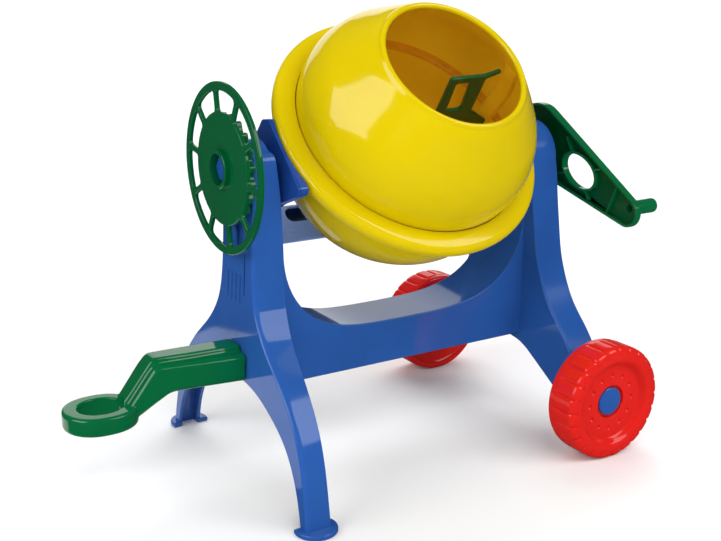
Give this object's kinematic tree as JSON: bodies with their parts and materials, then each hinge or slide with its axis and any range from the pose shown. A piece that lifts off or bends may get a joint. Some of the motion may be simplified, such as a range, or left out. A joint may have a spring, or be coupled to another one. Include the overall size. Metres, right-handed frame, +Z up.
{
  "type": "toy cement mixer",
  "caption": "Towable toy cement mixer: a tilting drum in a cradle on a legged frame with road wheels, turned by a side crank and tipped by a handwheel.",
  "frame": {"origin": "on the ground under the middle of the object's bounding box", "axes": "+Z up, +X along the towing direction away from the hitch eye, the drum's mouth faces -Y and up"},
  "size_m": [0.5078, 0.298, 0.3972],
  "materials": {
    "frame_blue": "gloss",
    "cradle_blue": "gloss",
    "green_parts": "gloss",
    "drum_yellow": "gloss",
    "wheel_red": "satin",
    "gear_white": "matte",
    "steel": "satin"
  },
  "bodies": {
    "frame": {"left_end_frame": "frame_blue", "right_end_frame": "frame_blue", "cross_beam": "frame_blue", "frame_screw_left_front": "steel", "frame_screw_left_rear": "steel", "frame_screw_right_front": "steel", "frame_screw_right_rear": "steel", "drawbar": "green_parts", "drawbar_pin": "steel", "detent_spring": "frame_blue", "wheel_pin_front": "frame_blue", "wheel_pin_rear": "frame_blue"},
    "cradle": {"cradle": "cradle_blue", "handwheel": "green_parts", "drum_spindle": "steel", "thrust_washer": "gear_white", "spindle_nut": "steel"},
    "drum": {"drum_lower_shell": "drum_yellow", "drum_upper_shell": "drum_yellow", "mixing_paddle": "green_parts", "crown_gear": "gear_white"},
    "crank": {"crank": "green_parts", "crank_screw": "steel", "crank_shaft": "steel", "drive_pinion": "gear_white"},
    "wheel_front": {"wheel_front": "wheel_red"},
    "wheel_rear": {"wheel_rear": "wheel_red"}
  },
  "joints": [
    {"name": "drum_tilt", "type": "hinge", "parent": "frame", "child": "cradle", "pos_m": [0.05615, 0, 0.269], "axis": [1, 0, 0], "range_deg": [0, 75]},
    {"name": "drum_spin", "type": "hinge", "parent": "cradle", "child": "drum", "pos_m": [0.05615, 0, 0.269], "axis": [0, -0.7071, 0.7071], "continuous": true},
    {"name": "crank_spin", "type": "hinge", "parent": "cradle", "child": "crank", "pos_m": [0.05615, 0, 0.269], "axis": [1, 0, 0], "continuous": true},
    {"name": "front_wheel_spin", "type": "hinge", "parent": "frame", "child": "wheel_front", "pos_m": [0.19535, -0.1327, 0.0524], "axis": [0, 1, 0], "continuous": true},
    {"name": "rear_wheel_spin", "type": "hinge", "parent": "frame", "child": "wheel_rear", "pos_m": [0.19535, 0.1327, 0.0524], "axis": [0, 1, 0], "continuous": true}
  ],
  "couplings": [
    {"joint": "crank_spin", "follows": "drum_spin", "ratio": -6}
  ]
}
